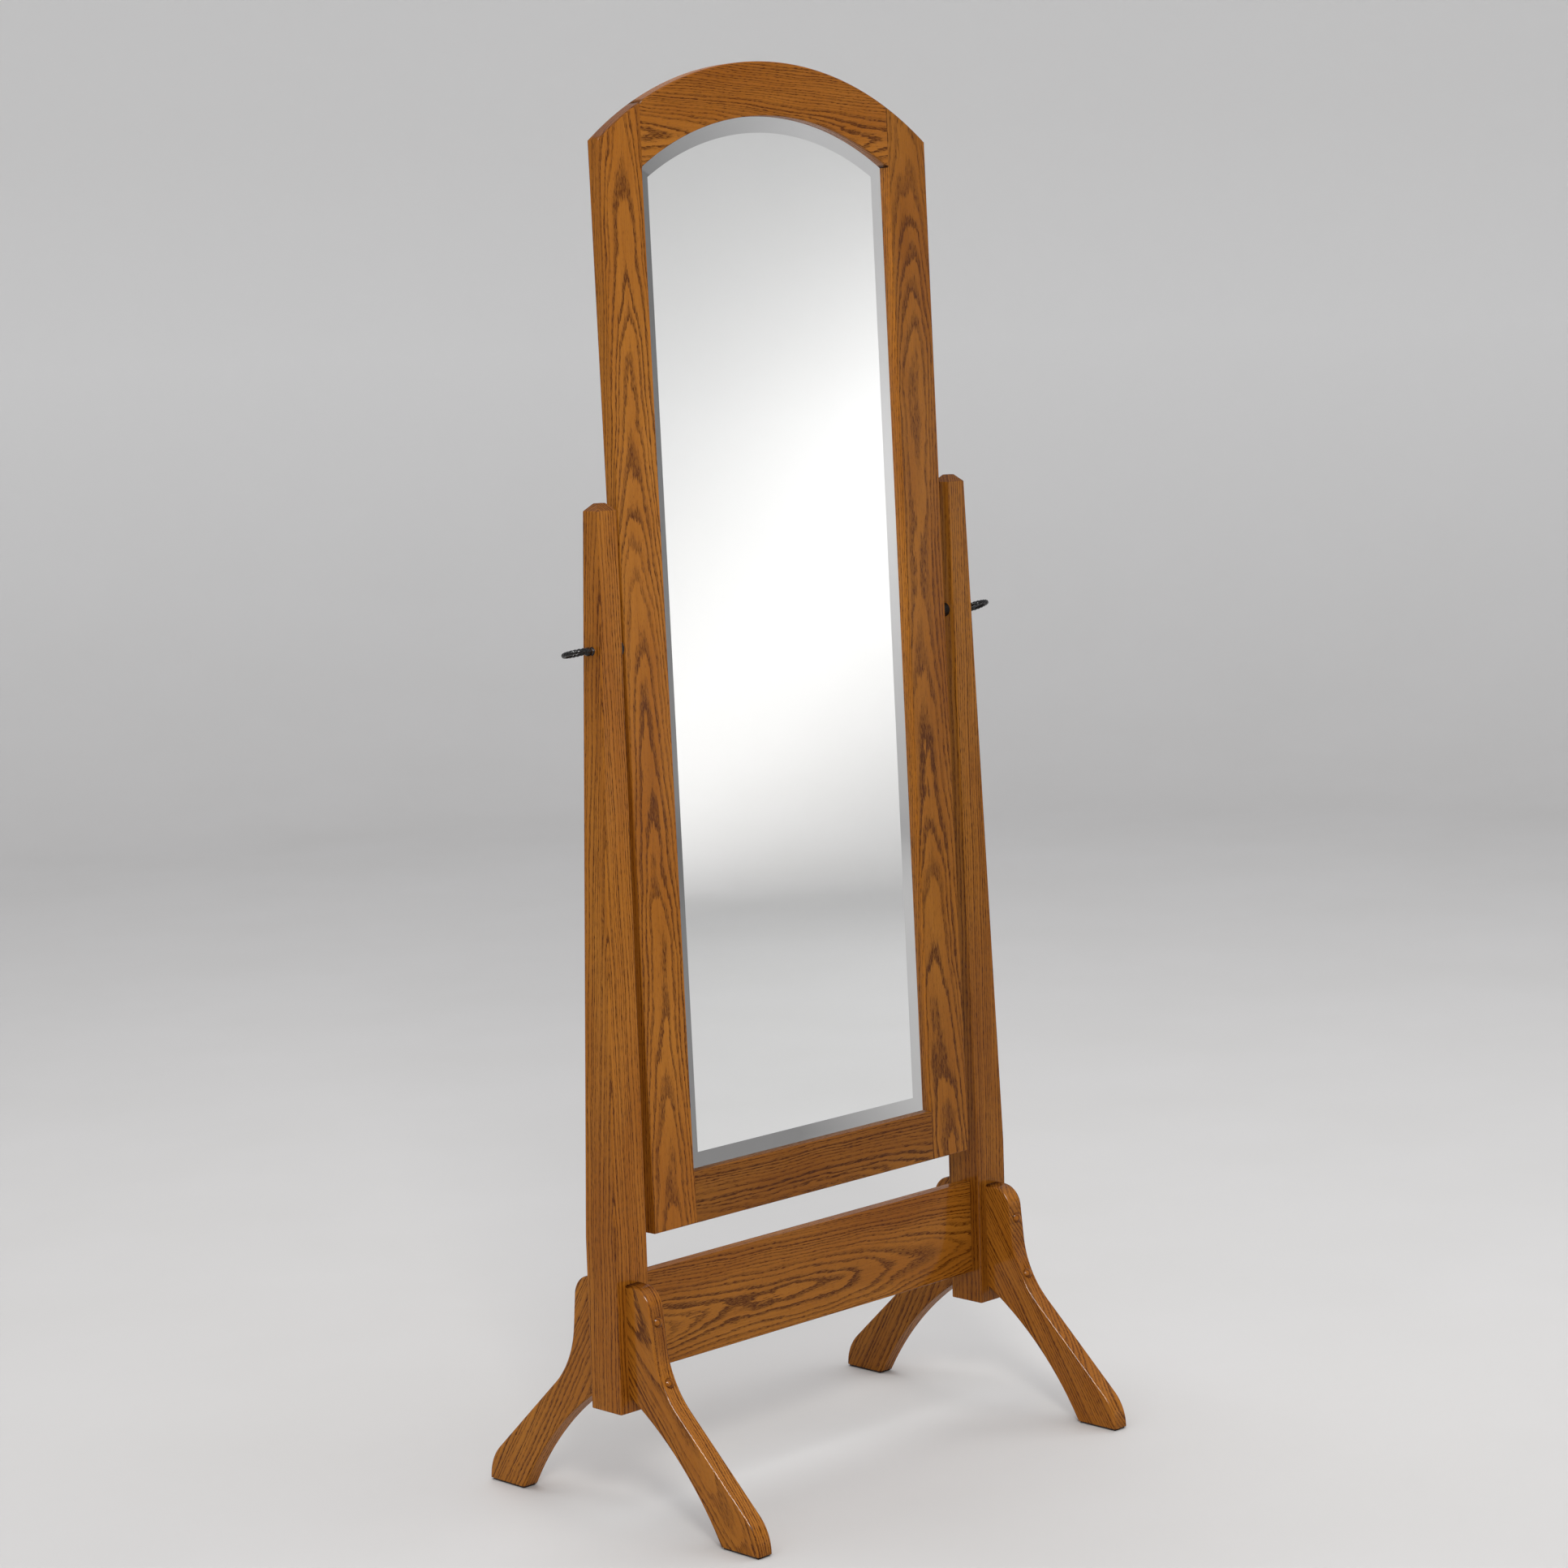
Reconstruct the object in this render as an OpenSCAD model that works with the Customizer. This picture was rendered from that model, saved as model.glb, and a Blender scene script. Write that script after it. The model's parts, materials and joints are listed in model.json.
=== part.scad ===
// Cheval floor mirror: an arched, bevelled mirror in an oak frame, hung between two tapered posts
// on a pair of ring-headed clamp knobs, and tilting about the line through them.
// X runs to the right of someone facing the glass, Y runs away from them, Z is up.
// The origin is on the floor, midway between the feet. All sizes are in millimetres.

/* [Mirror frame] */
// Width over both stiles
frame_w = 600; // [520:5:680]
// Thickness of the frame boards
frame_t = 21; // [19:0.5:26]
// Width of each stile
stile_w = 73.5; // [60:0.5:90]
// Height of the bottom rail
bottom_rail_h = 68; // [50:1:90]
// Width of the arched top rail
top_rail_w = 70.5; // [55:0.5:85]
// Radius of the arch along the outer edge of the frame
arch_r = 487.5; // [440:2.5:560]
// Distance from the pivot up to the crown of the arch
frame_above = 743.5; // [700:0.5:760]
// Distance from the pivot down to the bottom edge
frame_below = 759; // [700:1:780]
// Depth of the rebate that holds the glass, from the back of the frame
rebate_d = 4.5; // [4:0.1:6]
// Width of that rebate
rebate_w = 7; // [5:0.5:10]

/* [Glass and back] */
// Thickness of the mirror glass
glass_t = 5; // [4:0.5:6]
// Thickness left at the edge of the glass, below the bevel
glass_edge_t = 2; // [1.5:0.1:3]
// Full width of the bevel
bevel_w = 27; // [15:0.5:40]
// Thickness of the hardboard back panel
panel_t = 3; // [2.5:0.1:5]
// How far the back panel stops short of the outer edges of the frame
panel_inset = 15; // [10:1:25]

/* [Stand] */
// Height of the tilt axis above the floor
pivot_h = 1128; // [1100:1:1160]
// Gap between the frame and a post, at the foot of the post
base_gap = 16.4; // [12:0.1:24]
// Gap between the frame and a post, at the top of the post
top_gap = 8.5; // [6:0.1:12]
// Width of a post below its taper
post_w = 55.6; // [46:0.1:66]
// Depth of a post below its taper
post_d = 56.4; // [46:0.2:66]
// Width of a post at its top
post_top_w = 32.5; // [26:0.5:44]
// Depth of a post at its top
post_top_d = 29; // [26:0.5:44]
// Height of a post's lower end above the floor
post_bottom = 145.5; // [130:0.5:160]
// Height at which the taper starts
taper_start = 372; // [340:1:420]
// Height of the taper's upper end
taper_end = 1304.5; // [1250:0.5:1400]
// Size of the chamfer round the top of a post
post_chamfer = 9.6; // [5:0.1:12]
// Height of the stretcher board
stretcher_h = 130; // [90:1:150]
// Height of the stretcher's lower edge above the floor
stretcher_z = 188.4; // [175:0.1:200]
// Thickness of the stretcher board
stretcher_t = 19; // [18:0.5:24]
// How far the stretcher sits forward of the middle of the posts
stretcher_forward = 2.5; // [0:0.5:8]

/* [Legs] */
// Thickness of a leg board
leg_t = 25.4; // [20:0.2:30]
// Distance from the middle of the stand to the toe of a leg
toe_y = 257; // [240:1:280]
// Distance from the middle of the stand to the heel of a leg
heel_y = 189; // [180:1:200]
// Height of the top of a leg
leg_top = 314; // [300:1:330]
// Thickness of the felt pad under each foot
pad_t = 2.5; // [2:0.5:4]

/* [Knobs] */
// Tilt of the mirror as it stands, leaning back from upright
tilt_rest = 1.3; // [0:0.1:20]
// Radius of the ring, measured to the middle of its rod
ring_r = 16.5; // [12:0.5:22]
// Radius of the rod that the ring is bent from
ring_rod_r = 3.2; // [2.5:0.1:4]
// Turn of the left ring about the tilt axis, front edge upwards
left_ring_turn = 15; // [0:1:45]
// Turn of the right ring about the tilt axis, front edge upwards
right_ring_turn = 22; // [0:1:45]
// Radius of the threaded stud, taken at the crest of its thread
stud_r = 4; // [3:0.5:5]

/* [Hidden] */

$fn = 64;

// Clearances
slip = 0.05;              // radial clearance of a glued dowel or a driven insert
running = 0.06;           // radial clearance of the stud in the parts it turns in
loose = 0.25;             // radial clearance of a hole that a screw or a stud passes through
seat = 0.1;               // gap between faces that rest on each other
end_gap = 1;              // free length left at the blind end of a dowel's or a screw's hole
cut = 1;                  // how far a cutting shape runs past the face it opens

// Colours
oak = [0.66, 0.42, 0.19];
oak_pale = [0.72, 0.50, 0.27];
black_iron = [0.09, 0.09, 0.10];
brass = [0.78, 0.62, 0.30];
steel = [0.62, 0.63, 0.65];
silvered = [0.80, 0.83, 0.85];
hardboard = [0.36, 0.25, 0.16];
felt = [0.20, 0.15, 0.11];

// Mirror frame, in its own coordinates: X across, Z up from the pivot, Y from front to back
half_w = frame_w / 2;
front_y = -frame_t / 2;
back_y = frame_t / 2;
arch_z = frame_above - arch_r;              // centre of both arcs of the arch
sight_r = arch_r - top_rail_w;              // arc of the opening
sight_half_w = half_w - stile_w;
sight_bottom = -frame_below + bottom_rail_h;
lip_y = back_y - rebate_d;                  // back of the lip that holds the glass in

// Glass: its bevel touches the lip at the edge of the opening
glass_gap = 1;                              // play between the glass and the rebate's wall
hidden_bevel = rebate_w - glass_gap;
bevel_drop = (glass_t - glass_edge_t) * (bevel_w - hidden_bevel) / bevel_w;
glass_front = lip_y + seat - bevel_drop;
glass_back = glass_front + glass_t;
pad_strip_w = 10;
pad_strip_t = back_y - glass_back;
side_pad_l = 340;
side_pad_zs = [-600, -180, 200];            // lower end of each strip along a side
end_pad_l = 300;                            // strips at the foot and under the arch
top_pad_z = 600;

// Back panel and its screws
panel_r = arch_r - panel_inset;
panel_half_w = half_w - panel_inset;
panel_bottom = -frame_below + panel_inset;
panel_screw_r = 1.6;
panel_screw_l = 13;
panel_head_r = 3.6;
panel_head_t = 2;
head_slot_l = 4;
head_slot_w = 0.8;
head_slot_depth = 1;
panel_screw_edge = 10;                      // from a screw to the edge of the panel
side_screw_drop = 30;                       // from the arch down to the highest side screw
side_screw_count = 6;
bottom_screw_count = 2;
arch_screw_count = 4;
arch_screw_step = 15;                       // degrees between the screws along the arch

// Dowels of the frame
frame_dowel_r = 4;
frame_dowel_l = 50;
frame_dowel_y = -2;
frame_dowel_inset = 17;                     // from a dowel to the edge of a bottom joint
sight_dowel_inset = 20;                     // from the lower dowel of a top joint to the opening
arch_dowel_inset = 22;                      // from its upper dowel to the outer edge

// Posts
post_in = half_w + base_gap;
post_out = post_in + post_w;
post_in_top = half_w + top_gap;
post_out_top = post_in_top + post_top_w;
post_mid = (post_in + post_out) / 2;
function along_taper(z) = (z - taper_start) / (taper_end - taper_start);
function post_in_at(z) = post_in + (post_in_top - post_in) * along_taper(z);
function post_out_at(z) = post_out + (post_out_top - post_out) * along_taper(z);

// Pivot hardware, as distances from the middle of the stand along X
spacer_r = 9.5;
spacer_in = half_w + seat;
spot_face_depth = 0.2;                      // flat cut into the tapered post for the spacer
spot_face_r = 10;
spacer_out = post_in_at(pivot_h) + spot_face_depth;
bushing_r = 5.5;
bushing_proud = 0.3;
bushing_out = post_out_at(pivot_h) + bushing_proud;
insert_r = 6;
insert_l = 20;
insert_in = half_w - insert_l;
collar_r = 5.75;
collar_in = bushing_out + seat;
collar_l = 10.5;
bore_gap = 2;                               // free length in the insert and in the stile behind it
stud_in = insert_in + bore_gap;
stud_socket = 6;                            // depth of the stud's socket in the collar
stud_out = collar_in + stud_socket;
ring_overlap = 1.6;                         // how far the ring's rod line dips into the collar
ring_x = collar_in + collar_l - ring_overlap + ring_r;

// Stretcher
stretcher_y = -stretcher_forward;
stretcher_dowel_r = 5;
stretcher_dowel_l = 60;
stretcher_dowel_zs = [for (k = [1:3]) stretcher_z + stretcher_h * (k - 0.5) / 3];

// Leg outline: [distance from the middle of the stand, height, corner radius]
leg_heel_z = 166;                           // where the underside meets the post
leg_corners = [
    [post_d / 2, leg_heel_z, 0],
    [129.6, 104.9, 450],                    // long curve of the underside
    [heel_y, pad_t, 0],
    [toe_y, pad_t, 0],
    [toe_y, 30.2, 62],                      // rounded toe
    [81.8, 192.9, 130],                     // hollow of the upper side
    [69.4, leg_top, 30],                    // rounded shoulder
    [post_d / 2, leg_top, 0]
];
arc_steps = 14;

// Screws that hold the legs, and the button plugs over their heads
leg_screw_zs = [271, 194];
plug_ys = [73.9, 91.4];                     // where each screw's line leaves the leg
plug_tilts = [5.9, 27.9];                   // slope of the leg's face there
leg_screw_r = 3;
leg_screw_head_r = 5.5;
leg_screw_head_t = 4;
leg_screw_tip_y = 4;
leg_screw_head_y = 60;
leg_socket_r = 2.9;                         // hexagon socket, to its corners
leg_socket_depth = 2.5;
counterbore_r = 6;
plug_r = 7.3;
plug_h = 4.4;
plug_stem_r = 4.5;
plug_stem_l = 3;
plug_lift = 0.25;

foot_pad_w = 21;
foot_pad_inset = 3;

// Helpers ------------------------------------------------------------------------------------

function unit(v) = v / norm(v);

// Points of the arc that rounds the corner at b, between its neighbours a and c
function rounded(a, b, c, r) =
    let (p = [b[0], b[1]], u = unit([a[0], a[1]] - p), v = unit([c[0], c[1]] - p))
    r == 0 ? [p] :
    let (
        half = acos(u * v) / 2,
        centre = p + unit(u + v) * r / sin(half),
        from = p + u * r / tan(half) - centre,
        to = p + v * r / tan(half) - centre,
        a0 = atan2(from[1], from[0]),
        turn = atan2(from[0] * to[1] - from[1] * to[0], from * to)
    )
    [for (i = [0:arc_steps]) centre + r * [cos(a0 + turn * i / arc_steps), sin(a0 + turn * i / arc_steps)]];

function rounded_outline(corners) =
    let (n = len(corners))
    [for (i = [0:n - 1]) each rounded(corners[(i + n - 1) % n], corners[i], corners[(i + 1) % n], corners[i][2])];

// A shape drawn as X and Z, made solid from y0 to y1
module slab(y0, y1) {
    translate([0, y1, 0]) rotate([90, 0, 0]) linear_extrude(y1 - y0) children();
}

// A shape drawn as Y and Z, made solid from x0 to x1
module side_slab(x0, x1) {
    translate([x0, 0, 0]) rotate([90, 0, 90]) linear_extrude(x1 - x0) children();
}

// A cylinder along X
module rod_x(r, x0, x1) {
    translate([x0, 0, 0]) rotate([0, 90, 0]) cylinder(r = r, h = x1 - x0);
}

// A cylinder along Y
module rod_y(r, y0, y1) {
    translate([0, y1, 0]) rotate([90, 0, 0]) cylinder(r = r, h = y1 - y0);
}

// The left-hand twin of a right-hand piece
module on_side(side) {
    mirror([side < 0 ? 1 : 0, 0, 0]) children();
}

// The rear twin of a front piece
module at_end(end) {
    mirror([0, end > 0 ? 1 : 0, 0]) children();
}

// The mirror frame's own coordinates, at the pivot and leaning back
module in_frame() {
    translate([0, 0, pivot_h]) rotate([-tilt_rest, 0, 0]) children();
}

// Mirror frame -------------------------------------------------------------------------------

// Outline with straight sides and foot and an arched head
module arched_outline(half_width, bottom, radius) {
    intersection() {
        union() {
            translate([0, arch_z]) circle(r = radius, $fn = 180);
            translate([-radius, bottom]) square([2 * radius, arch_z - bottom]);
        }
        translate([-half_width, bottom]) square([2 * half_width, arch_z + radius - bottom]);
    }
}

// What is taken out of the frame's boards to seat the glass
module rebate() {
    slab(lip_y, back_y + cut)
        arched_outline(sight_half_w + rebate_w, sight_bottom - rebate_w, sight_r + rebate_w);
}

function arch_height(radius, x) = arch_z + sqrt(radius * radius - x * x);

// Heights of the dowels in a joint between a stile and a rail
bottom_joint_zs = [-frame_below + frame_dowel_inset, sight_bottom - frame_dowel_inset];
top_joint_zs = [
    arch_height(sight_r, sight_half_w) + sight_dowel_inset,
    arch_height(arch_r, sight_half_w) - arch_dowel_inset
];

module at_frame_dowels() {
    for (side = [-1, 1], z = concat(bottom_joint_zs, top_joint_zs))
        translate([side * sight_half_w, frame_dowel_y, z]) children();
}

module frame_dowel_holes() {
    reach = frame_dowel_l / 2 + end_gap;
    at_frame_dowels() rod_x(frame_dowel_r + slip, -reach, reach);
}

// Places of the panel's screws, as [x, z]
panel_screw_x = panel_half_w - panel_screw_edge;
panel_screw_z0 = panel_bottom + panel_screw_edge;
panel_screw_z1 = arch_height(panel_r, panel_screw_x) - side_screw_drop;
arch_screw_r = panel_r - panel_screw_edge;
panel_screw_places = concat(
    [for (side = [-1, 1], k = [0:side_screw_count - 1])
        [side * panel_screw_x,
         panel_screw_z0 + (panel_screw_z1 - panel_screw_z0) * k / (side_screw_count - 1)]],
    [for (k = [1:bottom_screw_count])
        [panel_screw_x * (2 * k / (bottom_screw_count + 1) - 1), panel_screw_z0]],
    [for (k = [0:arch_screw_count - 1])
        let (a = arch_screw_step * (k - (arch_screw_count - 1) / 2))
        [arch_screw_r * sin(a), arch_z + arch_screw_r * cos(a)]]
);

module at_panel_screws() {
    for (place = panel_screw_places) translate([place[0], 0, place[1]]) children();
}

module panel_screw_holes() {
    at_panel_screws() rod_y(panel_screw_r + slip, back_y + panel_t - panel_screw_l - end_gap, back_y + cut);
}

module stile(side) {
    color(oak) in_frame() on_side(side) difference() {
        slab(front_y, back_y) intersection() {
            arched_outline(half_w, -frame_below, arch_r);
            translate([sight_half_w, -frame_below]) square([stile_w, frame_below + frame_above]);
        }
        rebate();
        frame_dowel_holes();
        panel_screw_holes();
        rod_x(insert_r + slip, insert_in - bore_gap, half_w + cut);
    }
}

module top_rail() {
    color(oak) in_frame() difference() {
        slab(front_y, back_y) intersection() {
            difference() {
                translate([0, arch_z]) circle(r = arch_r, $fn = 180);
                translate([0, arch_z]) circle(r = sight_r, $fn = 180);
            }
            translate([-sight_half_w, arch_z]) square([2 * sight_half_w, arch_r + cut]);
        }
        rebate();
        frame_dowel_holes();
        panel_screw_holes();
    }
}

module bottom_rail() {
    color(oak) in_frame() difference() {
        translate([-sight_half_w, front_y, -frame_below]) cube([2 * sight_half_w, frame_t, bottom_rail_h]);
        rebate();
        frame_dowel_holes();
        panel_screw_holes();
    }
}

module frame_dowels() {
    color(oak_pale) in_frame() at_frame_dowels()
        rod_x(frame_dowel_r, -frame_dowel_l / 2, frame_dowel_l / 2);
}

// Glass, bevelled all round on its front: the foot and sides by flat cuts, the arch by a cone
module mirror_glass() {
    w = sight_half_w + hidden_bevel;
    bottom = sight_bottom - hidden_bevel;
    r = sight_r + hidden_bevel;
    top = arch_z + r;
    edge_y = glass_back - glass_edge_t;
    color(silvered) in_frame() intersection() {
        translate([0, 0, bottom - cut]) linear_extrude(top - bottom + 2 * cut) polygon([
            [-w, glass_back], [w, glass_back], [w, edge_y], [w - bevel_w, glass_front],
            [-w + bevel_w, glass_front], [-w, edge_y]
        ]);
        side_slab(-w - cut, w + cut) polygon([
            [glass_back, bottom], [glass_back, top + cut], [glass_front, top + cut],
            [glass_front, bottom + bevel_w], [edge_y, bottom]
        ]);
        union() {
            translate([0, glass_back, arch_z]) rotate([90, 0, 0]) rotate_extrude($fn = 180) polygon([
                [0, 0], [r, 0], [r, glass_edge_t], [r - bevel_w, glass_t], [0, glass_t]
            ]);
            translate([-w - cut, glass_front, bottom - cut]) cube([2 * (w + cut), glass_t, arch_z - bottom + cut]);
        }
    }
}

// Foam strips that press the glass forward against the lip
module glass_pads() {
    w = sight_half_w - pad_strip_w;
    color(felt) in_frame() {
        for (side = [-1, 1], z = side_pad_zs)
            translate([side * (w - pad_strip_w / 2) - pad_strip_w / 2, glass_back, z])
                cube([pad_strip_w, pad_strip_t, side_pad_l]);
        for (z = [sight_bottom + pad_strip_w, top_pad_z])
            translate([-end_pad_l / 2, glass_back, z]) cube([end_pad_l, pad_strip_t, pad_strip_w]);
    }
}

module back_panel() {
    color(hardboard) in_frame() difference() {
        slab(back_y, back_y + panel_t) arched_outline(panel_half_w, panel_bottom, panel_r);
        at_panel_screws() rod_y(panel_screw_r + slip, back_y - cut, back_y + panel_t + cut);
    }
}

module panel_screws() {
    head_y = back_y + panel_t;
    color(steel) in_frame() at_panel_screws() {
        rod_y(panel_screw_r, head_y - panel_screw_l, head_y + cut / 2);
        difference() {
            rod_y(panel_head_r, head_y, head_y + panel_head_t);
            for (a = [0, 90]) rotate([0, a, 0])
                translate([-head_slot_l / 2, head_y + panel_head_t - head_slot_depth, -head_slot_w / 2])
                    cube([head_slot_l, head_slot_depth + cut, head_slot_w]);
        }
    }
}

module insert(side) {
    color(brass) translate([0, 0, pivot_h]) on_side(side) difference() {
        rod_x(insert_r, insert_in, half_w);
        rod_x(stud_r + running, insert_in - cut, half_w + cut);
    }
}

// Stand --------------------------------------------------------------------------------------

module leg_screw_places(sides, ends, levels) {
    for (side = sides, end = ends, k = levels)
        on_side(side) at_end(end) translate([post_mid, 0, leg_screw_zs[k]]) children();
}

module post(side) {
    top = taper_end + post_chamfer;
    inset = post_chamfer;
    color(oak) on_side(side) difference() {
        intersection() {
            slab(-post_d, post_d) polygon([
                [post_in, post_bottom], [post_out, post_bottom], [post_out, taper_start],
                [post_out_top, taper_end], [post_out_top - inset, top],
                [post_in_top + inset, top], [post_in_top, taper_end], [post_in, taper_start]
            ]);
            side_slab(half_w, post_out + cut) polygon([
                [-post_d / 2, post_bottom], [post_d / 2, post_bottom], [post_d / 2, taper_start],
                [post_top_d / 2, taper_end], [post_top_d / 2 - inset, top],
                [inset - post_top_d / 2, top], [-post_top_d / 2, taper_end], [-post_d / 2, taper_start]
            ]);
        }
        translate([0, 0, pivot_h]) {
            rod_x(bushing_r + slip, half_w, post_out);
            rod_x(spot_face_r, half_w, spacer_out);
        }
        for (z = stretcher_dowel_zs) translate([0, stretcher_y, z])
            rod_x(stretcher_dowel_r + slip, post_in - cut, post_in + stretcher_dowel_l / 2 + end_gap);
        leg_screw_places([1], [-1, 1], [0, 1])
            rod_y(leg_screw_r + slip, -post_d / 2 - cut, -leg_screw_tip_y + end_gap);
    }
}

module stretcher() {
    color(oak) difference() {
        translate([-post_in, stretcher_y - stretcher_t / 2, stretcher_z])
            cube([2 * post_in, stretcher_t, stretcher_h]);
        for (side = [-1, 1], z = stretcher_dowel_zs) on_side(side) translate([0, stretcher_y, z])
            rod_x(stretcher_dowel_r + slip, post_in - stretcher_dowel_l / 2 - end_gap, post_in + cut);
    }
}

module stretcher_dowels() {
    color(oak_pale) for (side = [-1, 1], z = stretcher_dowel_zs) on_side(side)
        translate([post_in, stretcher_y, z])
            rod_x(stretcher_dowel_r, -stretcher_dowel_l / 2, stretcher_dowel_l / 2);
}

// A leg: side is -1 left or 1 right, end is -1 front or 1 back
module leg(side, end) {
    x0 = post_mid - leg_t / 2;
    color(oak) difference() {
        on_side(side) at_end(end) mirror([0, 1, 0]) side_slab(x0, x0 + leg_t)
            polygon(rounded_outline(leg_corners));
        leg_screw_places([side], [end], [0, 1]) {
            rod_y(leg_screw_r + loose, -leg_screw_head_y - cut, -post_d / 2 + cut);
            rod_y(counterbore_r, -toe_y, -leg_screw_head_y + leg_screw_head_t);
        }
    }
}

module leg_screws() {
    color(steel) leg_screw_places([-1, 1], [-1, 1], [0, 1]) difference() {
        union() {
            rod_y(leg_screw_r, -leg_screw_head_y + 1, -leg_screw_tip_y);
            rod_y(leg_screw_head_r, -leg_screw_head_y, -leg_screw_head_y + leg_screw_head_t);
        }
        translate([0, -leg_screw_head_y - cut, 0]) rotate([-90, 0, 0])
            cylinder(r = leg_socket_r, h = cut + leg_socket_depth, $fn = 6);
    }
}

module plug() {
    dome_r = (plug_r * plug_r + plug_h * plug_h) / (2 * plug_h);
    rotate([90, 0, 0]) {
        intersection() {
            translate([0, 0, plug_h - dome_r]) sphere(r = dome_r);
            cylinder(r = plug_r, h = plug_h + cut);
        }
        translate([0, 0, -plug_stem_l]) cylinder(r = plug_stem_r, h = plug_stem_l + 0.5);
    }
}

module screw_plugs() {
    color(oak) for (k = [0, 1]) leg_screw_places([-1, 1], [-1, 1], [k])
        translate([0, -plug_ys[k], 0]) rotate([-plug_tilts[k], 0, 0]) translate([0, -plug_lift, 0]) plug();
}

module foot_pads() {
    l = toe_y - heel_y - 2 * foot_pad_inset;
    color(felt) for (side = [-1, 1], end = [-1, 1]) on_side(side) at_end(end)
        translate([post_mid - foot_pad_w / 2, -toe_y + foot_pad_inset, 0]) cube([foot_pad_w, l, pad_t]);
}

// Pivot --------------------------------------------------------------------------------------

module bushing(side) {
    color(brass) translate([0, 0, pivot_h]) on_side(side) difference() {
        rod_x(bushing_r, spacer_out + seat, bushing_out);
        rod_x(stud_r + running, half_w, post_out);
    }
}

module spacer(side) {
    color(black_iron) translate([0, 0, pivot_h]) on_side(side) difference() {
        rod_x(spacer_r, spacer_in, spacer_out);
        rod_x(stud_r + loose, half_w - cut, post_out);
    }
}

// Ring of round rod on a ball-shaped collar, in one piece
module knob_ring(side) {
    ring_turn = side < 0 ? left_ring_turn : right_ring_turn;
    color(black_iron) translate([0, 0, pivot_h]) on_side(side) difference() {
        union() {
            translate([ring_x, 0, 0]) rotate([-ring_turn, 0, 0])
                rotate_extrude($fn = 72) translate([ring_r, 0]) circle(r = ring_rod_r, $fn = 32);
            translate([collar_in, 0, 0]) rotate([0, 90, 0]) intersection() {
                translate([0, 0, collar_l / 2]) sphere(r = collar_r);
                cylinder(r = collar_r + cut, h = collar_l);
            }
        }
        rod_x(stud_r + slip, collar_in - cut, stud_out);
    }
}

module knob_stud(side) {
    color(steel) translate([0, 0, pivot_h]) on_side(side) rod_x(stud_r, stud_in, stud_out - seat);
}

// Nodes --------------------------------------------------------------------------------------

post(-1);  // left_post
post(1);  // right_post
stretcher();
stretcher_dowels();
leg(-1, -1);  // front_left_leg
leg(1, -1);  // front_right_leg
leg(-1, 1);  // back_left_leg
leg(1, 1);  // back_right_leg
leg_screws();
screw_plugs();
foot_pads();
bushing(-1);  // left_bushing
bushing(1);  // right_bushing
spacer(-1);  // left_spacer
spacer(1);  // right_spacer
stile(-1);  // left_stile
stile(1);  // right_stile
top_rail();
bottom_rail();
frame_dowels();
mirror_glass();
glass_pads();
back_panel();
panel_screws();
insert(-1);  // left_insert
insert(1);  // right_insert
knob_ring(-1);  // left_knob_ring
knob_stud(-1);  // left_knob_stud
knob_ring(1);  // right_knob_ring
knob_stud(1);  // right_knob_stud
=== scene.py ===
"""Cheval floor mirror: oak boards with rounded edges, bevelled glass and twisted iron knobs, built on the
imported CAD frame.

Metres. X runs to the right of someone facing the glass, Y runs away from them, Z is up.
The origin is on the floor, midway between the feet.
"""
import json
import math

import bmesh
import bpy
from mathutils import Matrix, Vector


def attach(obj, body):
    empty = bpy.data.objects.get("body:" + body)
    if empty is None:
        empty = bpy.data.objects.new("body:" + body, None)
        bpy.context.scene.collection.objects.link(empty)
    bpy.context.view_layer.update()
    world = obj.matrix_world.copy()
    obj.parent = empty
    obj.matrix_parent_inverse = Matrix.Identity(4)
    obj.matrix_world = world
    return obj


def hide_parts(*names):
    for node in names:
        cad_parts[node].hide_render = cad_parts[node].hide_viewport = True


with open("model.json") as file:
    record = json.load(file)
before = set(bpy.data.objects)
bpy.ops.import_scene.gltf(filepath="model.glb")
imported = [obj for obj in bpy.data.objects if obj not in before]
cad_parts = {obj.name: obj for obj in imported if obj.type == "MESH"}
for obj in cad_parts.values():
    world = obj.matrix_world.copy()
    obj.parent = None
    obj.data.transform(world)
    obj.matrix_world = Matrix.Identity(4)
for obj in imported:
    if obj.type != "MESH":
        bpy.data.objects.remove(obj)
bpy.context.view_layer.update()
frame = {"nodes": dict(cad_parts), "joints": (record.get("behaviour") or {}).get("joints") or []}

MM = 0.001


# Places and sizes, from the frame ---------------------------------------------------------------

def extent(node, matrix=Matrix.Identity(4)):
    """Lowest and highest corner of a CAD node, in the coordinates that matrix places."""
    inverse = matrix.inverted()
    points = [inverse @ v.co for v in frame["nodes"][node].data.vertices]
    return [Vector([pick(p[i] for p in points) for i in range(3)]) for pick in (min, max)]


joints = {j["name"]: j for j in frame["joints"]}
pivot_z = joints["mirror_tilt"]["pos_m"][2]
TILT = math.radians(1.3)              # the mirror leans back from upright
in_frame = Matrix.Translation((0, 0, pivot_z)) @ Matrix.Rotation(-TILT, 4, "X")

# Mirror frame, in its own coordinates
stile_low, stile_high = extent("right_stile", in_frame)
rail_low, rail_high = extent("bottom_rail", in_frame)
crown = extent("top_rail", in_frame)[1].z
half_w, sight_half_w = stile_high.x, stile_low.x
frame_front, frame_back = stile_low.y, stile_high.y
frame_bottom, sight_bottom = rail_low.z, rail_high.z
ARCH_R = 487.5 * MM                   # outer edge of the arch
SIGHT_R = 417 * MM                    # edge of the opening
REBATE_D, REBATE_W = 4.5 * MM, 7 * MM
lip_y = frame_back - REBATE_D
arch_z = crown - ARCH_R

# Glass
glass_low, glass_high = extent("mirror_glass", in_frame)
BEVEL_W = 27 * MM
GLASS_EDGE_T = 2 * MM
glass_r = glass_high.z - arch_z

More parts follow.
